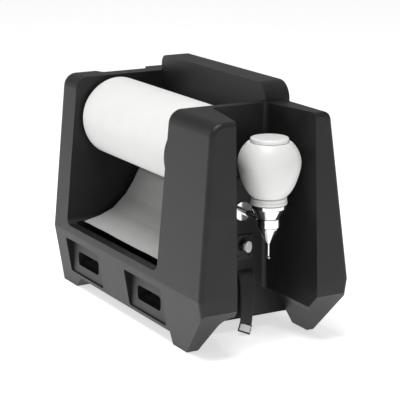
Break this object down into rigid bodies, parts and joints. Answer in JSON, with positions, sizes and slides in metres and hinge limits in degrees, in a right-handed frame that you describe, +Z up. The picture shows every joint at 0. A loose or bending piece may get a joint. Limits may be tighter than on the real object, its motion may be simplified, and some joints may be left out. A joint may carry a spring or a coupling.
{
  "type": "hand wash station",
  "caption": "Portable moulded hand wash station with a paper roll on a sprung spindle, a globe soap dispenser on a wall bracket, and a webbing strap with a cam buckle.",
  "frame": {"origin": "on the floor, under the middle of the whole box", "axes": "+X along the roll towards the soap compartment, +Y from the open front to the back, +Z up"},
  "size_m": [0.4764, 0.2378, 0.354],
  "materials": {
    "moulded_black": "satin, lightly textured",
    "chrome": "polished",
    "steel": "zinc plated",
    "white_plastic": "smooth",
    "white_globe": "translucent white, smooth",
    "seal": "matte",
    "white_seal": "matte white",
    "webbing": "woven",
    "tag": "blank white label cloth",
    "black_metal": "satin black",
    "paper": "soft embossed tissue",
    "card": "plain brown card",
    "grey_plastic": "moulded"
  },
  "bodies": {
    "caddy": {"body_shell": "moulded_black", "wall_plate": "black_metal", "plate_screws": "steel", "plate_nuts": "steel", "bracket_arm": "chrome", "neck_collar": "white_plastic", "arm_flange": "chrome", "globe": "white_globe", "lid_gasket": "white_seal", "neck_gasket": "seal", "valve_bell": "chrome", "valve_cup": "chrome", "valve_nozzle": "chrome", "valve_seat": "seal", "plunger_spring": "steel", "strap_webbing": "webbing", "strap_tag": "tag", "buckle_base": "black_metal", "buckle_pin": "steel", "buckle_rivets": "black_metal", "paper_sheet": "paper"},
    "roll": {"paper_roll": "paper", "roll_core": "card", "spindle_outer_tube": "grey_plastic", "spindle_spring": "steel"},
    "spindle_tip": {"spindle_inner_tube": "grey_plastic"},
    "lid": {"globe_lid": "white_plastic"},
    "plunger": {"plunger_rod": "chrome", "plunger_seal": "seal", "plunger_tip": "chrome"},
    "cam": {"buckle_cam": "chrome"}
  },
  "joints": [
    {"name": "roll_spin", "type": "hinge", "parent": "caddy", "child": "roll", "pos_m": [-0.0476, -0.031, 0.266], "axis": [1, 0, 0], "continuous": true},
    {"name": "spindle_push", "type": "slide", "parent": "roll", "child": "spindle_tip", "axis": [-1, 0, 0], "range_m": [0, 0.008], "stiffness_N_per_m": 600, "springref_m": -0.004},
    {"name": "lid_lift", "type": "slide", "parent": "caddy", "child": "lid", "axis": [0, 0, 1], "range_m": [0, 0.03]},
    {"name": "plunger_push", "type": "slide", "parent": "caddy", "child": "plunger", "axis": [0, 0, 1], "range_m": [0, 0.01], "stiffness_N_per_m": 200, "springref_m": -0.004, "deforming": ["plunger_spring"]},
    {"name": "cam_flip", "type": "hinge", "parent": "caddy", "child": "cam", "pos_m": [0.1268, 0.014, 0.126], "axis": [0, 1, 0], "range_deg": [0, 55], "stiffness_Nm_per_rad": 0.02, "springref_deg": -17.19}
  ]
}
